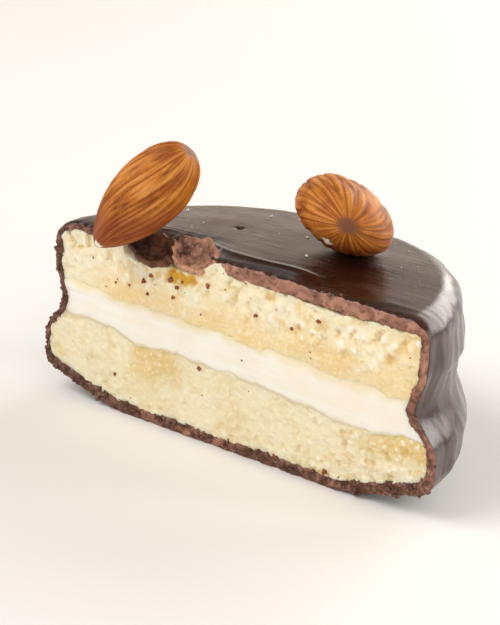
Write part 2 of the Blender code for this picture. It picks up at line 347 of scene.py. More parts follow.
def crumb_finish(name, pale, tan, butter_and_shade, crest):
    """Dry sandy biscuit: matte, and it glows a little because light goes in.

    pale is the sawn crumb and tan its denser parts. The third colour is for butter stains and
    for painted shade in the hollows; crest is for grains of sugar and for a painted highlight
    on the raised granules.
    """
    made, tree = finish_of(
        name,
        Roughness=0.82,
        Subsurface_Weight=0.40,
        Subsurface_Radius=(1.0, 0.72, 0.42),
        Subsurface_Scale=1.5 * MM,
        Specular_IOR_Level=0.25,
    )
    place = add(tree, "ShaderNodeTexCoord").outputs["Object"]
    read = {
        label: add(tree, "ShaderNodeAttribute", {"attribute_name": label}).outputs["Fac"]
        for label in ("toast", "hollow", "crest", "open", "gold")
    }
    # Denser patches are about 5 mm across, butter stains 1.8 mm and grains of sugar 0.5 mm.
    patch, stain, grain = (
        add(tree, "ShaderNodeTexNoise", None, {"Vector": place, "Scale": 1 / size, "Detail": detail})
        for size, detail in ((5 * MM, 5.0), (1.8 * MM, 3.0), (0.5 * MM, 2.0))
    )
    toast = add(tree, "ShaderNodeMapRange", None, {"Value": patch, "From Min": 0.42, "From Max": 0.72})
    toast = {0: toast, 1: 0.45, 2: read["toast"]}
    toast = add(tree, "ShaderNodeMath", {"operation": "MULTIPLY_ADD", "use_clamp": True}, toast)
    colour = add(tree, "ShaderNodeMix", COLOUR, {0: toast, 6: linear(pale), 7: linear(tan)})
    butter = {"Value": stain, "From Min": 0.54, "From Max": 0.68, "To Max": read["open"]}
    butter = add(tree, "ShaderNodeMapRange", None, butter)
    butter = add(tree, "ShaderNodeMath", {"operation": "MULTIPLY"}, {0: butter, 1: 0.60})
    # Painted highlight: the raised granules are coloured paler.
    lit = {"Value": read["crest"], "From Min": 0.45, "From Max": 0.9, "To Max": read["open"]}
    lit = add(tree, "ShaderNodeMapRange", None, lit)
    sugar = {"Value": grain, "From Min": 0.56, "From Max": 0.70, "To Max": 0.45}
    sugar = add(tree, "ShaderNodeMapRange", None, sugar)
    # Painted shade: the hollows are coloured darker and more golden.
    sunk = add(tree, "ShaderNodeMath", {"operation": "MULTIPLY"}, {0: read["hollow"], 1: 0.55})
    torn = add(tree, "ShaderNodeMapRange", None, {"Value": stain, "From Min": 0.3, "From Max": 0.55})
    torn = add(tree, "ShaderNodeMath", {"operation": "MULTIPLY"}, {0: torn, 1: read["gold"]})
    for share, over in ((butter, butter_and_shade), (lit, crest), (sugar, crest), (sunk, butter_and_shade), (torn, "#DBA93F")):
        colour = add(tree, "ShaderNodeMix", COLOUR, {0: share, 6: colour, 7: linear(over)})
    return end_finish(made, colour, grain, 0.4, 0.12 * MM)


def cream_low(x):
    """The height of the cream's underside at the cut."""
    dip = 0.9 * MM * ease(8 * MM, 20 * MM, x) - 0.7 * MM * ease(-16 * MM, -21 * MM, x)
    step = 0.7 * MM * ease(-9 * MM, -17 * MM, x) * ease(-21 * MM, -18 * MM, x)
    ragged = 0.5 * MM * rough(x, 0, 0, 2.4 * MM, 3.1) + 0.25 * MM * rough(x, 0, 0, 0.9 * MM, 5.7)
    return CREAM_LOW + LAYER_SLOPE * x - dip - step + ragged + 1.2 * MM * ease(24 * MM, 30 * MM, x)


def cream_high(x):
    """The height of the cream's top at the cut."""
    ragged = 0.35 * MM * rough(x, 0, 0, 4.5 * MM, 8.3) + 0.12 * MM * rough(x, 0, 0, 1.1 * MM, 1.9)
    return CREAM_HIGH + LAYER_SLOPE * x + ragged


def lower_marks(x, share):
    """Open crumb towards +X and at the foot; a golden patch under the cream at -X."""
    loose = 0.30 + 0.6 * ease(10 * MM, 22 * MM, x) + 0.3 * ease(0.35, 0.05, share)
    patch = ease(5.5 * MM, 2.5 * MM, abs(x + 13 * MM)) * ease(0.35, 0.75, share)
    stain = ease(1.5 * MM, 0.4 * MM, abs(x + 8.6 * MM)) * ease(0.3, 0.1, abs(share - 0.66))
    end = 0.9 * ease(21 * MM, 28 * MM, x) * ease(0.25, 0.8, share)
    corner = 0.5 * ease(-26 * MM, -30 * MM, x) * ease(0.75, 1.0, share)
    return loose, 0.05 + 0.65 * patch + end, 0.45 * stain + corner


crumb_relief = crumb_tree()
lower_crumb = crumb_finish("baked_crumb_lower", "#EFE5C6", "#E3C88C", "#D8B25E", "#F8F2E0")
lower_biscuit = sized(
    "sawn_lower_biscuit",
    slab(
        lambda x, radius: COAT_BASE - 0.25 * MM + underside(radius),
        lambda x: cream_low(x) + 0.9 * MM,
        rows=64,
        columns=440,
        marks=lower_marks,
    ),
)
grown(
    lower_biscuit,
    crumb_relief,
    {
        "Lump Height": 0.35 * MM,
        "Granule Size": 1.1 * MM,
        "Granule Height": 0.30 * MM,
        "Hollow Depth": 0.35 * MM,
        "Torn Depth": 0.3 * MM,
        "Material": lower_crumb,
    },
)
stands_for(lower_biscuit, "lower_biscuit")

# Cream. A slab of whipped white cream, spread on the lower biscuit and squeezed flat by
# the upper one. The knife smeared its face smooth and dragged faint lines along it.


def cream_tree():
    """The smeared face: long drag lines and soft swells, drawing back at the edges."""
    sizes = {
        "Drag Length": 14 * MM,
        "Drag Width": 0.9 * MM,
        "Drag Height": 0.12 * MM,
        "Swell Size": 4 * MM,
        "Swell Height": 0.35 * MM,
        "Edge Depth": 0.22 * MM,
    }
    tree, size = new_tree("smeared_cream", sizes)
    place = add(tree, "GeometryNodeInputPosition")
    read = {
        label: add(tree, "GeometryNodeInputNamedAttribute", {"data_type": "FLOAT"}, {"Name": label})
        for label in ("cut", "open")
    }
    per = {
        label: add(tree, "ShaderNodeMath", {"operation": "DIVIDE"}, {0: 1.0, 1: size[label]})
        for label in ("Drag Length", "Drag Width", "Swell Size")
    }
    stretch = {"X": per["Drag Length"], "Y": per["Drag Length"], "Z": per["Drag Width"]}
    stretch = add(tree, "ShaderNodeCombineXYZ", None, stretch)
    pulled = add(tree, "ShaderNodeVectorMath", {"operation": "MULTIPLY"}, {0: place, 1: stretch})
    drag = add(tree, "ShaderNodeTexNoise", None, {"Vector": pulled, "Scale": 1.0, "Detail": 3.0})
    swell = {"Vector": place, "Scale": per["Swell Size"], "Detail": 2.0}
    swell = add(tree, "ShaderNodeTexNoise", None, swell)
    rise = add(tree, "ShaderNodeMath", {"operation": "MULTIPLY"}, {0: drag, 1: size["Drag Height"]})
    for share, height, sign in ((swell, "Swell Height", 1.0), (read["open"], "Edge Depth", -1.0)):
        tall = add(tree, "ShaderNodeMath", {"operation": "MULTIPLY"}, {0: size[height], 1: sign})
        rise = add(tree, "ShaderNodeMath", {"operation": "MULTIPLY_ADD"}, {0: share, 1: tall, 2: rise})
    forward = add(tree, "ShaderNodeVectorMath", {"operation": "SCALE"}, {0: (0, -1, 0), "Scale": rise})
    moved = {"Geometry": size["Geometry"], "Selection": read["cut"], "Offset": forward}
    moved = add(tree, "GeometryNodeSetPosition", None, moved)
    return end_tree(tree, moved, size["Material"])


def cream_marks(x, share):
    """How near the cream's upper or lower edge a point is, for its shape and its colour."""
    near = max(ease(0.12, 0.0, share), ease(0.88, 1.0, share))
    stained = max(ease(0.16, 0.0, share), ease(0.72, 1.0, share + 0.12 * rough(x, 0, 0, 2.5 * MM, 5.1)))
    return near, stained, 0.0


def cream_finish():
    """Whipped cream filling: satin, soft white with a breath of peach, lit from inside."""
    made, tree = finish_of(
        "whipped_cream",
        Roughness=0.60,
        Subsurface_Weight=0.45,
        Subsurface_Radius=(1.0, 0.85, 0.68),
        Subsurface_Scale=1.8 * MM,
        Specular_IOR_Level=0.3,
    )
    place = add(tree, "ShaderNodeTexCoord").outputs["Object"]
    # The knife's drag lines are 12 mm and more in length and about 1 mm wide.
    pulled = {"Vector": place, "Scale": (1 / (12 * MM), 1 / (12 * MM), 1 / (1.1 * MM))}
    pulled = add(tree, "ShaderNodeMapping", None, pulled)
    drag = add(tree, "ShaderNodeTexNoise", None, {"Vector": pulled, "Scale": 1.0, "Detail": 4.0})
    cloud = add(tree, "ShaderNodeTexNoise", None, {"Vector": place, "Scale": 1 / (6 * MM), "Detail": 3.0})
    edge = add(tree, "ShaderNodeAttribute", {"attribute_name": "toast"}).outputs["Fac"]
    tint = add(tree, "ShaderNodeMapRange", None, {"Value": cloud, "From Min": 0.35, "From Max": 0.7})
    colour = {0: tint, 6: linear("#FAF4EA"), 7: linear("#FAEDDE")}
    colour = add(tree, "ShaderNodeMix", COLOUR, colour)
    line = {"Value": drag, "From Min": 0.5, "From Max": 0.8, "To Max": 0.35}
    line = add(tree, "ShaderNodeMapRange", None, line)
    stain = add(tree, "ShaderNodeMath", {"operation": "MULTIPLY"}, {0: edge, 1: 0.75})
    for share, over in ((line, "#F6E3C4"), (stain, "#F1DCAA")):
        colour = add(tree, "ShaderNodeMix", COLOUR, {0: share, 6: colour, 7: linear(over)})
    return end_finish(made, colour, drag, 0.25, 0.12 * MM)


cream = sized(
    "smeared_cream",
    slab(lambda x, radius: cream_low(x), cream_high, rows=44, columns=360, marks=cream_marks),
)
grown(cream, cream_tree(), {"Material": cream_finish()})
stands_for(cream, "cream_filling")

# Upper biscuit. The same dough, pressed down on the cream: dense and tan where it meets
# the cream, open and lumpy under the glaze. It shows bare where the coat broke off.

BREAK_LEFT, BREAK_RIGHT = -20.4 * MM, -1.4 * MM
BREAK_DEPTH = 4.3 * MM


def break_depth(x):
    """How far behind the cut the coat's broken edge lies."""
    left = ease(BREAK_LEFT, BREAK_LEFT + 2 * MM, x)
    right = ease(BREAK_RIGHT, BREAK_RIGHT - 8 * MM, x)
    jag = 1 + 0.16 * rough(x, 0, 0, 1.3 * MM, 2.2)
    return BREAK_DEPTH * left * right * jag


def rim_drop(x):
    """How much deeper the coat's broken upper edge reaches at the cut than its thickness."""
    return (0.35 + 0.55 * ease(-2 * MM, 22 * MM, x)) * MM * ease(-4 * MM, -1 * MM, x)


def upper_top(x):
    """The height of the upper biscuit's top edge at the cut, low where it crumbled."""
    lumps = 0.5 * MM * rough(x, 0, 0, 3.2 * MM, 4.4) + 0.3 * MM * rough(x, 0, 0, 1.3 * MM, 9.1)
    crumbled = 1.7 * MM * ease(0, 3.0 * MM, break_depth(x))
    swollen = 1.7 * MM * math.exp(-(((x + 2.0 * MM) / (1.5 * MM)) ** 2))
    return 26.3 * MM + lumps - crumbled + swollen - rim_drop(x)


def upper_marks(x, share):
    """Open and lumpy near the glaze, dense and tan near the cream, golden in the break."""
    loose = ease(0.25, 0.8, share + 0.12 * rough(x, 0, share * 9 * MM, 5 * MM, 6.6))
    right = 0.35 * ease(4 * MM, 14 * MM, x) * ease(0.2, 0.5, share)
    tan = ease(0.70, 0.25, share + 0.18 * rough(x, 0, 0, 8 * MM, 7.7)) * ease(0.0, 0.10, share)
    ragged = 0.10 * rough(x, 0, share * 9 * MM, 1.2 * MM, 3.9)
    pit = ease(4.2 * MM, 2.0 * MM, abs(x + 8.4 * MM)) * ease(0.17, 0.05, abs(share - 0.88) + ragged)
    butter = 0.5 * ease(1.2 * MM, 0.3 * MM, abs(x - 7.5 * MM)) * ease(0.10, 0.03, abs(share - 0.9))
    end = 0.6 * ease(25 * MM, 29 * MM, x) * ease(0.4, 0.8, share)
    return 0.15 + 0.75 * loose + right, 0.05 + 0.7 * tan * ease(-30 * MM, -20 * MM, x) + end, pit + butter


upper_crumb = crumb_finish("baked_crumb_upper", "#F5ECD0", "#EFD39B", "#E2BC66", "#FCF7E8")
upper_biscuit = sized(
    "sawn_upper_biscuit",
    slab(
        lambda x, radius: cream_high(x) - 0.9 * MM,
        upper_top,
        rows=68,
        columns=440,
        marks=upper_marks,
        ledge=lambda x: 1.25 * break_depth(x),
    ),
)
grown(
    upper_biscuit,
    crumb_relief,
    {"Granule Size": 1.8 * MM, "Granule Height": 0.55 * MM, "Material": upper_crumb},
)
stands_for(upper_biscuit, "upper_biscuit")

# Chocolate coat. Dark chocolate poured over the whole cookie, which ran down the wall
# in folds and set glossy. At the cut it broke rather than sliced, so its edge is matte,
# grainy and milk-brown.

HEM_HEIGHT, HEM_DRIP = 18.2 * MM, 1.2 * MM
SKIRT_THICK, SKIRT_LIP = 0.7 * MM, 1.6 * MM
WAIST_FILL, WAIST_FILL_REACH = 1.8 * MM, 3.4 * MM
CROWN_DOME = 0.5 * MM
COLLAR_X, COLLAR_Y, COLLAR_HIGH, COLLAR_REACH = 10.0 * MM, 16.8 * MM, 0.75 * MM, 2.4 * MM
BUBBLE_X, BUBBLE_Y, BUBBLE = -9 * MM, 14 * MM, 0.5 * MM


def coat_profile(inset, top, lift):
    """(radius, height) from the crown's middle round to the base's middle."""
    shoulder = SHOULDER - inset
    crown_edge = UPPER_RADIUS - inset - shoulder
    flat, base = foot_of(inset, lift)
    corner = CORNER_HIGH - 0.5 * inset
    points = [(crown_edge * step / 140, top) for step in range(140)]
    for step in range(24):
        turn = math.radians(90 - 3.75 * step)
        points.append((crown_edge + shoulder * math.cos(turn), top - shoulder + shoulder * math.sin(turn)))
    for step in range(70):
        z = top - shoulder + (base + corner - top + shoulder) * step / 70
        points.append((wall_radius(z, inset, top, lift), z))
    for step in range(20):
        z = base + corner * (1 - math.sin(math.radians(90 * step / 20)))
        points.append((wall_radius(z, inset, top, lift), z))
    for step in range(81):
        radius = flat * (1 - step / 80)
        points.append((radius, lift + underside(radius)))
    return points


def hem(angle):
    """The height of the scalloped hem where the glaze's skirt set."""
    return HEM_HEIGHT + HEM_DRIP * (math.sin(7 * angle + 0.9) + 0.7 * math.sin(12 * angle + 2.4))


def skirt(z, angle):
    """How far the skirt and the glaze that filled the waist stand out from the wall."""
    over = ease(0, SKIRT_LIP, z - hem(angle))
    under = ease(0, SHOULDER, CROWN_Z - SHOULDER - z)
    fill = WAIST_FILL * math.exp(-(((z - WAIST_Z) / WAIST_FILL_REACH) ** 2))
    return (SKIRT_THICK * over * under + fill) * math.sqrt(max(0.0, math.sin(angle)))


def crown_relief(x, y, radius):
    """The crown's dome and swells, the collar under the lying almond, and the knife's marks."""
    rise = -CROWN_DOME * min(1.0, (radius / (UPPER_RADIUS - SHOULDER)) ** 2)
    rise += 0.20 * MM * rough(x, y, 0, 13 * MM, 3.3) + 0.04 * MM * rough(x, y, 0, 4 * MM, 2.8)
    rise += 0.10 * MM * rough(x / 7, y - 0.10 * x, 0, 1.1 * MM, 6.1) * math.exp(-y / (4.5 * MM))
    along = ease(-9 * MM, -4 * MM, x) * ease(16 * MM, 8 * MM, x)
    ridge_at = 3.2 * MM + 0.05 * x + 0.4 * MM * rough(x, 0, 0, 4 * MM, 1.7)
    rise += 0.30 * MM * along * math.exp(-(((y - ridge_at) / (0.6 * MM)) ** 2))
    rise -= 0.45 * MM * math.exp(-y / (1.1 * MM))
    collar = (x - COLLAR_X) ** 2 + (y - COLLAR_Y) ** 2
    rise += COLLAR_HIGH * math.exp(-collar / COLLAR_REACH**2)
    bubble = (x - BUBBLE_X) ** 2 + (y - BUBBLE_Y) ** 2
    return rise - BUBBLE * math.exp(-bubble / BUBBLE**2)


def glaze_point(radius, z, angle):
    """A point on the glaze, with its runs, undulations, knife marks and broken edge."""
    round_x, round_y = 9 * MM * math.cos(angle), 9 * MM * math.sin(angle)
    wall = ease(28 * MM, 31 * MM, radius) * ease(3 * MM, 7 * MM, z)
    run = rough(round_x, round_y, 0.07 * z, 0.9 * MM, 1.3)
    fine_run = rough(round_x, round_y, 0.10 * z, 0.35 * MM, 7.1)
    out = radius + skirt(z, angle) + wall * (0.32 * MM * run + 0.08 * MM * fine_run)
    out *= out_of_round(angle, z)
    x, y = out * math.cos(angle), max(0.0, out * math.sin(angle))
    if z > 20 * MM:
        crown = ease(24.6 * MM, CROWN_Z, z)
        z += crown * crown_relief(x, y, radius)
        recess = break_depth(x) * ease(20 * MM, 24 * MM, z)
        y += recess * (1 - ease(0, 10 * MM, y))
        z -= 0.6 * MM * ease(0, 2 * MM, recess) * math.exp(-max(0.0, y - recess) / (1.5 * MM)) * crown
    jag = 0.28 * MM * rough(x, 3 * MM, z, 1.1 * MM, 5.2) + 0.12 * MM * rough(x, 1 * MM, z, 0.4 * MM, 8.8)
    z += 0.30 * MM * rough(x, 0, z, 0.8 * MM, 6.6) * math.exp(-y / (0.35 * MM)) * ease(20 * MM, 26 * MM, z)
    y += (0.10 * MM + jag) * math.exp(-y / (0.5 * MM))
    return Vector((x, CUT_Y + y, max(0.0, z)))


def lining_point(radius, z, angle):
    """A point on the coat's hidden inner side."""
    out = radius * out_of_round(angle, z)
    x, y = out * math.cos(angle), max(0.0, out * math.sin(angle))
    if z > 20 * MM:
        recess = max(0.0, break_depth(x) - 0.9 * MM) * ease(20 * MM, 24 * MM, z)
        y += recess * (1 - ease(0, 10 * MM, y))
        wavy = 0.42 * MM * rough(x, 0, 0, 1.8 * MM, 4.7) + 0.25 * MM * rough(x, 0, 0, 0.8 * MM, 2.3)
        z -= (rim_drop(x) + wavy) * ease(24 * MM, 26 * MM, z) * math.exp(-y / (2 * MM))
    return Vector((x, CUT_Y + y, z))


def shell_side(bm, profile, point, columns):
    """Half of a turned surface with a pole at each end. Returns its edge loop at the cut."""
    rows = [[bm.verts.new(point(*profile[0], math.pi / 2))]]
    for radius, z in profile[1:-1]:
        row = []
        for column in range(columns + 1):
            turn = column / columns
            angle = math.pi * (turn - 0.6 * math.sin(2 * math.pi * turn) / (2 * math.pi))
            row.append(bm.verts.new(point(radius, z, angle)))
        rows.append(row)
    rows.append([bm.verts.new(point(*profile[-1], math.pi / 2))])
    for upper, lower in zip(rows[1:], rows[2:-1]):
        for at in range(columns):
            bm.faces.new((upper[at], lower[at], lower[at + 1], upper[at + 1]))
    for pole, row in ((rows[0][0], rows[1]), (rows[-1][0], rows[-2])):
        for at in range(columns):
            bm.faces.new((pole, row[at], row[at + 1]))
    right = [row[0] for row in rows[1:-1]]
    left = [row[-1] for row in rows[1:-1]]
    return [rows[0][0], *right, rows[-1][0], *reversed(left)]


def coat_mesh():
    """The whole coat: glaze outside, lining inside, and the rough broken edge between."""
    bm = bmesh.new()
    pale = bm.verts.layers.float.new("pale")
    outer = shell_side(bm, coat_profile(0.0, CROWN_Z, 0.0), glaze_point, 190)
    inner = shell_side(bm, coat_profile(COAT_SIDE, CROWN_Z - COAT_TOP, COAT_BASE), lining_point, 24)
    steps = 9
    bands = [outer]
    for step in range(1, steps):
        share = step / steps
        band = []
        for out, lined in zip(outer, inner):
            at = out.co.lerp(lined.co, share)
            lump = 0.55 * rough(at.x, 5 * MM, at.z, 1.9 * MM, 2.7)
            lump += 0.42 * rough(at.x, 2 * MM, at.z, 0.5 * MM, 4.9)
            grit = 0.20 * rough(at.x, 2 * MM, at.z, 0.36 * MM, 3.9)
            at.y -= (0.15 + lump + grit) * MM * ease(0, 0.3, share)
            tucked = math.exp(-(((at.x + 2.6 * MM) / (1.8 * MM)) ** 2)) * ease(23 * MM, 25 * MM, at.z)
            at.y += 0.8 * MM * tucked
            at.z = max(0.05 * MM, at.z + 0.28 * MM * rough(at.x, 7 * MM, at.z, 0.9 * MM, 1.4))
            band.append(bm.verts.new(at))
        bands.append(band)
    bands.append(inner)
    count = len(outer)
    for near, far in zip(bands, bands[1:]):
        for at in range(count):
            after = (at + 1) % count
            face = bm.faces.new((near[at], near[after], far[after], far[at]))
            face.material_index = 1
    for band in bands:
        for vert in band:
            side = 0.3 * ease(29 * MM, 31 * MM, vert.co.x)
            above = ease(24.5 * MM, 26.5 * MM, vert.co.z) * ease(-6 * MM, -1 * MM, vert.co.x)
            vert[pale] = max(0.15 + side, above)
    return mesh_of(bm, "coat")


def glaze_finish():
    """Set dark chocolate: near-black brown under a gloss that smears blur in places."""
    made, tree = finish_of(
        "set_dark_chocolate",
        IOR=1.55,
        Subsurface_Weight=0.0,
        Coat_Weight=0.12,
        Coat_Roughness=0.16,
    )
    place = add(tree, "ShaderNodeTexCoord").outputs["Object"]
    # Smears from the pouring are some 8 mm apart; the fine bloom is under 1 mm, and the
    # knife drew lines along the cut that are 0.7 mm wide.
    smear = {"Vector": place, "Scale": 1 / (8 * MM), "Detail": 4.0, "Distortion": 0.6}
    smear = add(tree, "ShaderNodeTexNoise", None, smear)
    bloom = add(tree, "ShaderNodeTexNoise", None, {"Vector": place, "Scale": 1 / (0.8 * MM), "Detail": 3.0})
    pulled = {"Vector": place, "Scale": (1 / (14 * MM), 1 / (0.7 * MM), 1 / (14 * MM))}
    pulled = add(tree, "ShaderNodeMapping", None, pulled)
    streak = add(tree, "ShaderNodeTexNoise", None, {"Vector": pulled, "Scale": 1.0, "Detail": 3.0})
    tone = add(tree, "ShaderNodeMapRange", None, {"Value": smear, "From Min": 0.35, "From Max": 0.7})
    colour = {0: tone, 6: linear("#2C150D"), 7: linear("#432416")}
    colour = add(tree, "ShaderNodeMix", COLOUR, colour)
    powder = {"Value": bloom, "From Min": 0.6, "From Max": 0.8, "To Max": 0.35}
    powder = add(tree, "ShaderNodeMapRange", None, powder)
    colour = add(tree, "ShaderNodeMix", COLOUR, {0: powder, 6: colour, 7: linear("#684B3B")})
    gloss = {"Value": smear, "From Min": 0.3, "From Max": 0.75, "To Min": 0.15, "To Max": 0.40}
    gloss = add(tree, "ShaderNodeMapRange", None, gloss)
    tree.links.new(gloss.outputs[0], tree.nodes["Principled BSDF"].inputs["Roughness"])
    height = add(tree, "ShaderNodeMath", {"operation": "ADD"}, {0: streak, 1: bloom})
    return end_finish(made, colour, height, 0.16, 0.2 * MM)


def broken_finish(name, dark, light, grit):
    """Freshly broken chocolate: matte, grainy, paler than the gloss because it scatters."""
    made, tree = finish_of(
        name,
        Roughness=0.68,
        Specular_IOR_Level=0.4,
        Subsurface_Weight=0.12,
        Subsurface_Radius=(1.0, 0.35, 0.15),
        Subsurface_Scale=0.6 * MM,
    )
    place = add(tree, "ShaderNodeTexCoord").outputs["Object"]
    pale = add(tree, "ShaderNodeAttribute", {"attribute_name": "pale"}).outputs["Fac"]
    # The knife's heat melted it darker over some 5 mm at a time. Broken facets are about
    # 1.2 mm, and the grains that sparkle on them 0.45 mm.
    facet = add(tree, "ShaderNodeTexNoise", None, {"Vector": place, "Scale": 1 / (1.2 * MM), "Detail": 4.0})
    grain = add(tree, "ShaderNodeTexVoronoi", None, {"Vector": place, "Scale": 1 / (0.45 * MM)})
    melt = add(tree, "ShaderNodeTexNoise", None, {"Vector": place, "Scale": 1 / (5 * MM), "Detail": 2.0})
    most = {"Value": melt, "From Min": 0.40, "From Max": 0.60, "To Min": 0.25, "To Max": 0.75}
    most = add(tree, "ShaderNodeMapRange", None, most)
    tone = {"Value": facet, "From Min": 0.38, "From Max": 0.62, "To Max": most}
    tone = add(tree, "ShaderNodeMapRange", None, tone)
    tone = {0: pale, 1: 0.50, 2: tone}
    tone = add(tree, "ShaderNodeMath", {"operation": "MULTIPLY_ADD", "use_clamp": True}, tone)
    colour = add(tree, "ShaderNodeMix", COLOUR, {0: tone, 6: linear(dark), 7: linear(light)})
    spark = {"Value": grain, "From Min": 0.24, "From Max": 0.12, "To Max": 0.6}
    spark = add(tree, "ShaderNodeMapRange", None, spark)
    colour = add(tree, "ShaderNodeMix", COLOUR, {0: spark, 6: colour, 7: linear(grit)})
    return end_finish(made, colour, facet, 0.9, 0.25 * MM)


glaze = glaze_finish()
broken_edge = broken_finish("broken_chocolate_edge", "#4C2A1F", "#B8846E", "#CDA48C")
coat = sized("poured_chocolate_coat", coat_mesh(), glaze, broken_edge)
stands_for(coat, "chocolate_coat")

# Broken flakes. Two bits of the coat that the knife pushed into the gap: a dark ragged
# one under the leaning almond, and a paler curled one that shows its melted edges.


def leaning(about_x, about_y, about_z):
    """A turn about X, then Y, then Z, in degrees."""
    turns = ((about_z, "Z"), (about_y, "Y"), (about_x, "X"))
    turned = [Matrix.Rotation(math.radians(turn), 4, axis) for turn, axis in turns]
    return turned[0] @ turned[1] @ turned[2]


def flake(name, size, curl, centre, lean, bits, seed, finish):
    """A broken plate with a ragged outline and a rolled rim, curled up at both ends."""
    length, depth, thickness = size
    around, rings = 110, 22
    bm = bmesh.new()
    pale = bm.verts.layers.float.new("pale")
    turned = Matrix.Translation(centre) @ lean
    sides = []
    for face in (-0.5, 0.5):
        rows = []
        middle = bm.verts.new(turned @ Vector((0, 0, face * thickness)))
        middle[pale] = 0.3
        for step in range(1, rings + 1):
            share = step / rings
            row = []
            for corner in range(around):
                angle = 2 * math.pi * corner / around
                on_rim = Vector((math.cos(angle), math.sin(angle), seed))
                reach = 1 + 0.30 * noise.noise(0.9 * on_rim) + 0.16 * noise.noise(2.4 * on_rim)
                reach += 0.10 * noise.noise(6.5 * on_rim)
                x = 0.5 * length * share * reach * math.cos(angle)
                y = 0.5 * depth * share * reach * math.sin(angle)
                thin = 1 - 0.6 * share**8
                lumps = 0.55 * rough(x, y, face * MM, 1.8 * MM, seed)
                lumps += 0.3 * rough(x, y, face * MM, 0.6 * MM, seed)
                rolled = 0.35 * MM * math.exp(-(((share - 0.86) / 0.10) ** 2)) * (face > 0)
                cupped = curl * (2 * x / length) ** 2 + 0.4 * curl * (2 * y / depth) ** 2
                z = face * thickness * thin + bits * lumps * thin + rolled + cupped
                vert = bm.verts.new(turned @ Vector((x, y, z)))
                left = ease(0.1, -0.7, 2 * x / length)
                vert[pale] = max(0.0, 0.35 + 0.65 * ease(0.62, 0.9, share) - 0.6 * left)
                row.append(vert)
            rows.append(row)
        for corner in range(around):
            after = (corner + 1) % around
            bm.faces.new((middle, rows[0][corner], rows[0][after]))
            for near, far in zip(rows, rows[1:]):
                bm.faces.new((near[corner], far[corner], far[after], near[after]))
        sides.append(rows[-1])
    for corner in range(around):
        after = (corner + 1) % around
        bm.faces.new((sides[0][corner], sides[0][after], sides[1][after], sides[1][corner]))
    return sized(name, mesh_of(bm, name), finish)


flake_dark = flake(
    "dark_coat_flake",
    size=(9.2 * MM, 5.4 * MM, 1.4 * MM),
    curl=0.3 * MM,
    centre=Vector((-14.6 * MM, CUT_Y + 1.3 * MM, 26.3 * MM)),
    lean=leaning(40, 5, -4),
    bits=0.9 * MM,
    seed=3.4,
    finish=broken_finish("broken_flake_dark", "#24150F", "#74462C", "#8F6248"),
)
flake_pale = flake(
    "pale_coat_flake",
    size=(7.2 * MM, 5.6 * MM, 0.9 * MM),
    curl=1.5 * MM,
    centre=Vector((-6.9 * MM, CUT_Y + 1.6 * MM, 26.5 * MM)),
    lean=leaning(44, 10, 4),
    bits=0.28 * MM,
    seed=11.6,
    finish=broken_finish("broken_flake_pale", "#4A2A1E", "#D9A284", "#F0CDB0"),
)
stands_for(flake_dark, "coat_flake_dark")
stands_for(flake_pale, "coat_flake_pale")

# Almonds. Two whole raw kernels in their brown skin, stuck on while the glaze was soft:
# one leans out over the cut on its tip, one lies with its blunt end to the front.


def almond_outline(share, pointed, blunt):
    """Half-width of a kernel as a share of its most, from its tip to its blunt end."""
    widest = pointed / (pointed + blunt)
    most = widest**pointed * (1 - widest) ** blunt
    return share**pointed * (1 - share) ** blunt / most


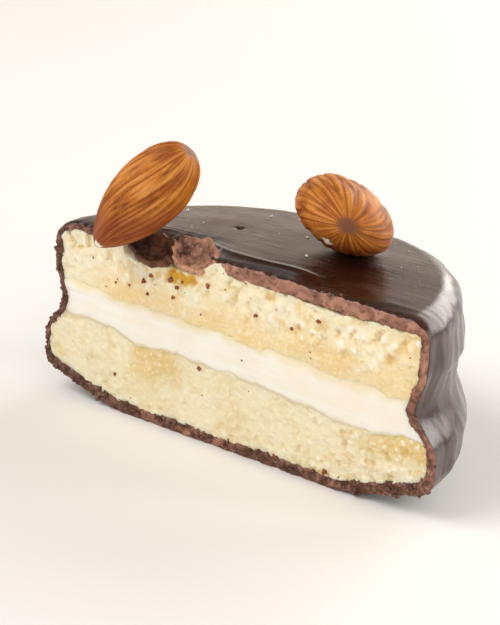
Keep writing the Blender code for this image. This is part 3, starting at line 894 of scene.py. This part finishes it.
def almond_kernel(name, size, centre, towards, roll, seed, scar, scuff, finish):
    """A kernel with long ribs that run from its tip into the scar on its blunt end.

    scar is the share of the length that the scar on the blunt end takes, and scuff is
    the place where the skin is chipped off, and the chip's radius.
    """
    length, width, thickness = size
    around, along = 180, 110
    forward = Vector(towards).normalized()
    side = Vector((0, 0, 1)).cross(forward).normalized()
    axes = Matrix((forward, side, forward.cross(side))).transposed()
    turned = Matrix.Translation(centre) @ axes.to_4x4() @ Matrix.Rotation(roll, 4, "X")
    chip, chip_radius = scuff
    bm = bmesh.new()
    labels = ("rib", "crest", "under", "scar", "bare")
    for label in labels:
        bm.verts.layers.float.new(label)
    layers = [bm.verts.layers.float[label] for label in labels]

    def kernel_vert(share, angle):
        wide = 0.5 * width * almond_outline(share, 0.72, 0.46)
        thick = 0.5 * thickness * almond_outline(share, 0.62, 0.44)
        spin = angle + 0.30 * math.sin(math.pi * share + seed)
        ring = Vector((1.5 * math.cos(spin), 1.5 * math.sin(spin), 0.55 * share + seed))
        broad = noise.noise(1.1 * ring)
        rib = noise.noise(3.6 * ring)
        fibre = noise.noise(9.0 * ring)
        furrow = max(0.0, 1 - 5.5 * abs(rib)) ** 1.2
        body = max(0.0, math.sin(math.pi * share)) ** 0.45
        lift = 0.32 * MM * broad + 0.13 * MM * fibre - 0.30 * MM * furrow
        dent = 0.12 * MM * math.exp(-(((1 - share) / 0.008) ** 2))
        place = Vector(
            (
                (share - 0.5) * length - dent,
                (wide + lift * body) * math.cos(angle),
                (thick + lift * body) * math.sin(angle),
            )
        )
        place = turned @ place
        vert = bm.verts.new(place)
        torn = (place - chip).length + 0.3 * MM * fibre
        marks = (
            # Painted shade in the furrows, with real dark fibre streaks added.
            min(1.0, furrow + 0.7 * max(0.0, -fibre)),
            # Painted highlight on the rib crests.
            ease(0.16, 0.42, abs(rib)) * ease(-0.1, 0.2, fibre),
            # Painted shade: the skin darkens on the kernel's low side.
            ease(1.5 * MM, -3.5 * MM, place.z - centre.z),
            math.exp(-(((1 - share) / scar) ** 2)),
            ease(chip_radius + 0.2 * MM, chip_radius - 0.2 * MM, torn),
        )
        for layer, value in zip(layers, marks):
            vert[layer] = value
        return vert

    tip, end = kernel_vert(0.0, 0.0), kernel_vert(1.0, 0.0)
    rows = []
    for step in range(1, along):
        share = 0.5 - 0.5 * math.cos(math.pi * step / along)
        rows.append([kernel_vert(share, 2 * math.pi * turn / around) for turn in range(around)])
    for turn in range(around):
        after = (turn + 1) % around
        bm.faces.new((tip, rows[0][after], rows[0][turn]))
        bm.faces.new((end, rows[-1][turn], rows[-1][after]))
        for near, far in zip(rows, rows[1:]):
            bm.faces.new((near[turn], near[after], far[after], far[turn]))
    return sized(name, mesh_of(bm, name), finish)


def almond_skin():
    """Raw almond skin, dry, fibrous and cinnamon; furrows and low side get painted shade, rib crests a
    painted highlight.
    """
    made, tree = finish_of(
        "raw_almond_skin",
        Roughness=0.55,
        Subsurface_Weight=0.12,
        Subsurface_Radius=(1.0, 0.42, 0.12),
        Subsurface_Scale=1.2 * MM,
        Specular_IOR_Level=0.30,
    )
    place = add(tree, "ShaderNodeTexCoord").outputs["Object"]
    read = {
        label: add(tree, "ShaderNodeAttribute", {"attribute_name": label}).outputs["Fac"]
        for label in ("rib", "crest", "under", "scar", "bare")
    }
    # The skin is blotched over some 3 mm, and its dusty scales are 0.35 mm.
    blotch, scale = (
        add(tree, "ShaderNodeTexNoise", None, {"Vector": place, "Scale": 1 / size, "Detail": detail})
        for size, detail in ((3 * MM, 3.0), (0.35 * MM, 2.0))
    )
    tone = add(tree, "ShaderNodeMapRange", None, {"Value": blotch, "From Min": 0.35, "From Max": 0.65})
    colour = {0: tone, 6: linear("#A8540A"), 7: linear("#CC7E24")}
    colour = add(tree, "ShaderNodeMix", COLOUR, colour)
    light = {"Value": scale, "From Min": 0.55, "From Max": 0.75, "To Max": 0.35}
    light = add(tree, "ShaderNodeMapRange", None, light)
    colour = add(tree, "ShaderNodeMix", COLOUR, {0: light, 6: colour, 7: linear("#E09C48")})
    # Colour marks in turn: painted shade in the furrows, darkened further by real fibre streaks; a painted
    # highlight on the rib crests; painted shade on the low side; the scar; the bare chip.
    for label, most, over in (
        ("rib", 0.70, "#6E330B"),
        ("crest", 0.55, "#E3A056"),
        ("under", 0.70, "#873403"),
        ("scar", 1.0, "#7C4A30"),
        ("bare", 1.0, "#FDF6E8"),
    ):
        share = {0: read[label], 1: most}
        share = add(tree, "ShaderNodeMath", {"operation": "MULTIPLY", "use_clamp": True}, share)
        colour = add(tree, "ShaderNodeMix", COLOUR, {0: share, 6: colour, 7: linear(over)})
    return end_finish(made, colour, scale, 0.45, 0.12 * MM)


skin = almond_skin()
almond_leaning = almond_kernel(
    "leaning_almond",
    size=(20.7 * MM, 9.9 * MM, 9.2 * MM),
    centre=Vector((-14.9 * MM, CUT_Y - 1.3 * MM, 34.3 * MM)),
    towards=(0.612, 0.245, 0.752),
    roll=math.radians(90),
    seed=1.7,
    scar=0.012,
    scuff=(Vector((-20.0 * MM, CUT_Y - 4.95 * MM, 27.1 * MM)), 0.75 * MM),
    finish=skin,
)
almond_lying = almond_kernel(
    "lying_almond",
    size=(21.8 * MM, 15.0 * MM, 9.6 * MM),
    centre=Vector((7.9 * MM, CUT_Y + 15.6 * MM, 33.65 * MM)),
    towards=(0.60, -0.79, 0.13),
    roll=math.radians(-28),
    seed=4.3,
    scar=0.008,
    scuff=(Vector((10.9 * MM, CUT_Y + 7.3 * MM, 32.1 * MM)), 0.8 * MM),
    finish=skin,
)
stands_for(almond_leaning, "almond_leaning")
stands_for(almond_lying, "almond_lying")

# Specks and crumbs. The knife carried bits of chocolate on to the biscuits and the
# cream, and bits of biscuit on to the glaze. They are loose, under 1 mm, and stuck on.


def scatter_tree():
    """Little rough lumps strewn over the faces that an attribute called here allows."""
    sizes = {
        "Per Square Metre": 1e6,
        "Smallest": 0.2 * MM,
        "Largest": 0.6 * MM,
        "Few Large": 2.0,
        "Seed": 0.0,
    }
    tree, size = new_tree("strewn_bits", sizes)
    here = add(tree, "GeometryNodeInputNamedAttribute", {"data_type": "FLOAT"}, {"Name": "here"})
    thick = {0: here, 1: size["Per Square Metre"]}
    thick = add(tree, "ShaderNodeMath", {"operation": "MULTIPLY"}, thick)
    points = {"Mesh": size["Geometry"], "Density": thick, "Seed": size["Seed"]}
    points = add(tree, "GeometryNodeDistributePointsOnFaces", {"distribute_method": "RANDOM"}, points)
    bit = add(tree, "GeometryNodeMeshUVSphere", None, {"Radius": 0.5, "Segments": 7, "Rings": 5})
    wobble = add(tree, "ShaderNodeTexNoise", None, {"Scale": 1.6, "Detail": 1.0})
    uneven = {0: wobble.outputs[1], 1: (0.5, 0.5, 0.5)}
    uneven = add(tree, "ShaderNodeVectorMath", {"operation": "SUBTRACT"}, uneven)
    bit = add(tree, "GeometryNodeSetPosition", None, {"Geometry": bit, "Offset": uneven})
    chance = {2: 0.0, 3: 1.0, "Seed": 7}
    chance = add(tree, "FunctionNodeRandomValue", {"data_type": "FLOAT"}, chance)
    chance = {0: chance, 1: size["Few Large"]}
    chance = add(tree, "ShaderNodeMath", {"operation": "POWER"}, chance)
    across = {"Value": chance, "To Min": size["Smallest"], "To Max": size["Largest"]}
    across = add(tree, "ShaderNodeMapRange", None, across)
    spin = {0: (0, 0, 0), 1: (6.28, 6.28, 6.28), "Seed": 3}
    spin = add(tree, "FunctionNodeRandomValue", {"data_type": "FLOAT_VECTOR"}, spin)
    placed = {"Points": points, "Instance": bit, "Rotation": spin, "Scale": across}
    placed = add(tree, "GeometryNodeInstanceOnPoints", None, placed)
    return end_tree(tree, placed, size["Material"])


def strewn(name, ground, here, sizes):
    """Bits strewn over a copy of some faces of the ground pieces, as one new piece."""
    bm = bmesh.new()
    for piece in ground:
        bm.from_mesh(piece.data)
    mark = bm.verts.layers.float.new("here")
    bm.normal_update()
    for vert in bm.verts:
        vert[mark] = here(vert.co, vert.normal)
    idle = [face for face in bm.faces if max(vert[mark] for vert in face.verts) < 0.01]
    bmesh.ops.delete(bm, geom=idle, context="FACES")
    mesh = bpy.data.meshes.new(name)
    bm.to_mesh(mesh)
    bm.free()
    stands_for(grown(sized(name, mesh), strew, sizes))


def speckled(place, normal):
    """Specks lie thickest under the broken place, with a few over the rest."""
    if normal.y > -0.3:
        return 0.0
    under = math.exp(-(((place.x + 8 * MM) / (7 * MM)) ** 2) - ((place.z - 22.0 * MM) / (1.8 * MM)) ** 2)
    right = math.exp(-(((place.x - 12 * MM) / (6 * MM)) ** 2) - ((place.z - 22.5 * MM) / (1.8 * MM)) ** 2)
    sparse = 0.06 if place.z > 17.5 * MM + LAYER_SLOPE * place.x else 0.02
    return under + 0.3 * right + sparse


def edge_grit(place, normal):
    """Grit clings all along the broken edge, most at the foot and the -X wall."""
    if normal.y > -0.2 or place.y > CUT_Y + 0.6 * MM or place.z < 0.7 * MM:
        return 0.0
    reach = abs(place.x)
    foot = ease(1.5 * MM, 0.5 * MM, place.z - COAT_BASE - underside(reach))
    wall = ease(-28 * MM, -31 * MM, place.x)
    rim = reach > inner_radius(place.z) - 0.2 * MM or place.z > 26.6 * MM
    on_rim = rim or place.z < COAT_BASE + underside(reach)
    return (0.10 + foot + 0.6 * wall) * on_rim


def glaze_dust(place, normal):
    """A little biscuit dust lies on the crown, most of it behind the lying almond."""
    if normal.z < 0.9 or place.z < 26 * MM or place.y < CUT_Y + 6 * MM:
        return 0.0
    heap = math.exp(-(((place.x - 20 * MM) / (4 * MM)) ** 2) - ((place.y - CUT_Y - 14 * MM) / (4 * MM)) ** 2)
    return 0.25 + heap


strew = scatter_tree()
on_cut = [upper_biscuit, lower_biscuit, cream]
speck = broken_finish("chocolate_speck", "#84401E", "#B46E3C", "#C68852")
grit = broken_finish("chocolate_grit", "#4E2E22", "#966C58", "#CFB4A4")
for name, ground, here, slot, finish, crowding, smallest, largest, few_large, seed in (
    ("chocolate_specks", on_cut, speckled, "dark_chocolate", speck, 3.6e5, 0.20, 0.95, 3.0, 4.0),
    ("edge_grit", [coat], edge_grit, "broken_chocolate", grit, 2.4e6, 0.2, 0.8, 2.0, 2.0),
    ("biscuit_dust", [coat], glaze_dust, "biscuit", upper_crumb, 4e4, 0.14, 0.5, 2.0, 9.0),
):
    sizes = {
        "Per Square Metre": crowding,
        "Smallest": smallest * MM,
        "Largest": largest * MM,
        "Few Large": few_large,
        "Seed": seed,
        "Material": finish,
    }
    strewn(name, ground, here, sizes)

# Floor, light and camera. A plain pale floor under soft daylight from a big window at
# the back, with a soft fill from the front. The camera looks at the cut from its +X side.


def floor_mesh():
    """A flat square, large enough to fill the view."""
    bm = bmesh.new()
    bmesh.ops.create_grid(bm, x_segments=1, y_segments=1, size=3.0)
    mesh = bpy.data.meshes.new("floor")
    bm.to_mesh(mesh)
    bm.free()
    return mesh


floor_paint, floor_nodes = finish_of("pale_floor", Roughness=0.6, Specular_IOR_Level=0.2)
cloud = add(floor_nodes, "ShaderNodeTexNoise", None, {"Scale": 3.0, "Detail": 2.0})
shade = {0: cloud, 6: linear("#F3F2F0"), 7: linear("#F6F5F3")}
shade = add(floor_nodes, "ShaderNodeMix", COLOUR, shade)
floor_nodes.links.new(shade.outputs[2], floor_nodes.nodes["Principled BSDF"].inputs["Base Color"])
floor = sized("floor", floor_mesh(), floor_paint)

world = bpy.data.worlds.new("daylight")
bpy.context.scene.world = world
world.use_nodes = True
sky = world.node_tree.nodes["Background"]
direction = add(world.node_tree, "ShaderNodeTexCoord").outputs["Generated"]
up = add(world.node_tree, "ShaderNodeSeparateXYZ", None, {"Vector": direction}).outputs["Z"]
climb = add(world.node_tree, "ShaderNodeMapRange", None, {"Value": up, "From Min": 0.15, "From Max": 0.75})
sky_colour = {0: climb, 6: linear("#FFFFFF"), 7: linear("#96897A")}
sky_colour = add(world.node_tree, "ShaderNodeMix", COLOUR, sky_colour)
world.node_tree.links.new(sky_colour.outputs[2], sky.inputs["Color"])
sky.inputs["Strength"].default_value = 0.58

MIDDLE = Vector((0.0, CUT_Y + 0.012, 0.018))
for label, bearing, height, far, size, power in (
    ("window", 172, 24, 0.9, (0.9, 0.5), 6.2),
    ("low_window", 217, 10, 0.9, (0.9, 0.26), 0.42),
    ("key", -42, 48, 0.8, (0.6, 0.6), 4.4),
    ("fill", 62, 30, 0.9, (0.7, 0.5), 2.1),
    ("side_strip", 118, 16, 0.7, (0.16, 0.6), 1.6),
):
    lamp = bpy.data.lights.new(label, "AREA")
    lamp.shape, lamp.size, lamp.size_y, lamp.energy = "RECTANGLE", *size, power
    lamp.color = (1.0, 0.70, 0.42) if label == "low_window" else (1.0, 0.98, 0.95)
    turn, rise = math.radians(bearing), math.radians(height)
    away = Vector((math.sin(turn) * math.cos(rise), -math.cos(turn) * math.cos(rise), math.sin(rise)))
    stand = bpy.data.objects.new(label, lamp)
    bpy.context.scene.collection.objects.link(stand)
    stand.location = MIDDLE + far * away
    stand.rotation_mode = "QUATERNION"
    stand.rotation_quaternion = (-away).to_track_quat("-Z", "Y")

eye = Vector((134.3 * MM, CUT_Y - 177.5 * MM, 101.6 * MM))
aim = Vector((1.0 * MM, CUT_Y + 4.0 * MM, 20.0 * MM))
tilt = math.radians(2.85)
look = (aim - eye).normalized()
level = look.cross(Vector((0, 0, 1))).normalized()
upright = level.cross(look)
lens = bpy.data.cameras.new("camera")
lens.lens, lens.sensor_width = 98.0, 36.0
lens.clip_start, lens.clip_end = 0.01, 20.0
camera = bpy.data.objects.new("camera", lens)
bpy.context.scene.collection.objects.link(camera)
camera_right = math.cos(tilt) * level + math.sin(tilt) * upright
camera_up = math.cos(tilt) * upright - math.sin(tilt) * level
camera.matrix_world = Matrix.Translation(eye) @ Matrix((camera_right, camera_up, -look)).transposed().to_4x4()
bpy.context.scene.camera = camera
bpy.context.scene.view_settings.view_transform = "Standard"
